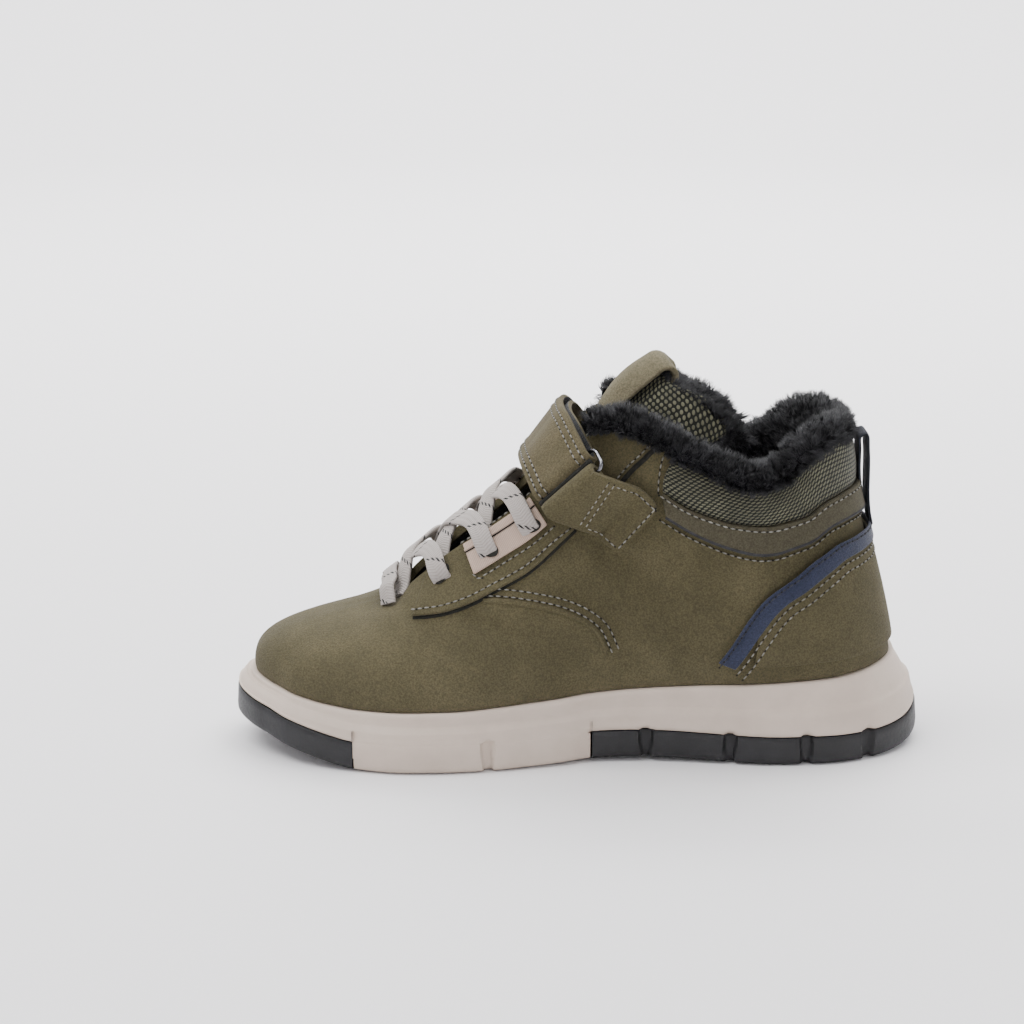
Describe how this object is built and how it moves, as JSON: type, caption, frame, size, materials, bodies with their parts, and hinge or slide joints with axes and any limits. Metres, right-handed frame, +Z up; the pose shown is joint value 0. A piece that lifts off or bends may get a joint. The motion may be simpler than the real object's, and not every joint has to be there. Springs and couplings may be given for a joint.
{
  "type": "fur-lined ankle boot",
  "caption": "Child's fur-lined ankle boot for the right foot: soft upper with laces and an instep strap through a ring, padded tongue, pull loop, and a beige sole unit with black lugged pads.",
  "frame": {"origin": "on the floor under the middle of the boot's box", "axes": "+X from toe to heel, +Y to the lateral side, +Z up; the medial side faces -Y"},
  "size_m": [0.226, 0.0895, 0.1288],
  "materials": {
    "nubuck": "olive nubuck, fine nap, matt",
    "strap_nubuck": "olive nubuck edged with a double row of stitches, matt",
    "woven_panel": "dark grey close weave, matt",
    "mesh": "dark olive coarse mesh, matt",
    "lace_insert": "ribbed pink beige tape, matt",
    "fur": "black deep pile",
    "lining": "dark short pile",
    "lace": "flat woven lace, light grey with dark flecks",
    "ring_metal": "polished steel wire",
    "webbing": "black webbing with a navy face",
    "sole_beige": "warm beige foamed rubber, matt",
    "sole_black": "black rubber, matt"
  },
  "bodies": {
    "root": {"upper": "nubuck", "eyestay_lateral": "nubuck", "eyestay_medial": "nubuck", "heel_counter": "nubuck", "collar_band": "nubuck", "strap": "strap_nubuck", "strap_anchor": "strap_nubuck", "tongue_tab": "strap_nubuck", "quarter_panel": "woven_panel", "tongue": "mesh", "lace_plate_lateral": "lace_insert", "lace_plate_medial": "lace_insert", "fur_collar": "fur", "tongue_fur": "fur", "insole": "lining", "lace_bar": "lace", "lace_cross_1": "lace", "lace_cross_2": "lace", "lace_cross_3": "lace", "strap_ring": "ring_metal", "pull_loop": "webbing", "midsole": "sole_beige", "heel_tread": "sole_black", "toe_tread_outer": "sole_black", "toe_tread_inner": "sole_black"}
  },
  "joints": []
}
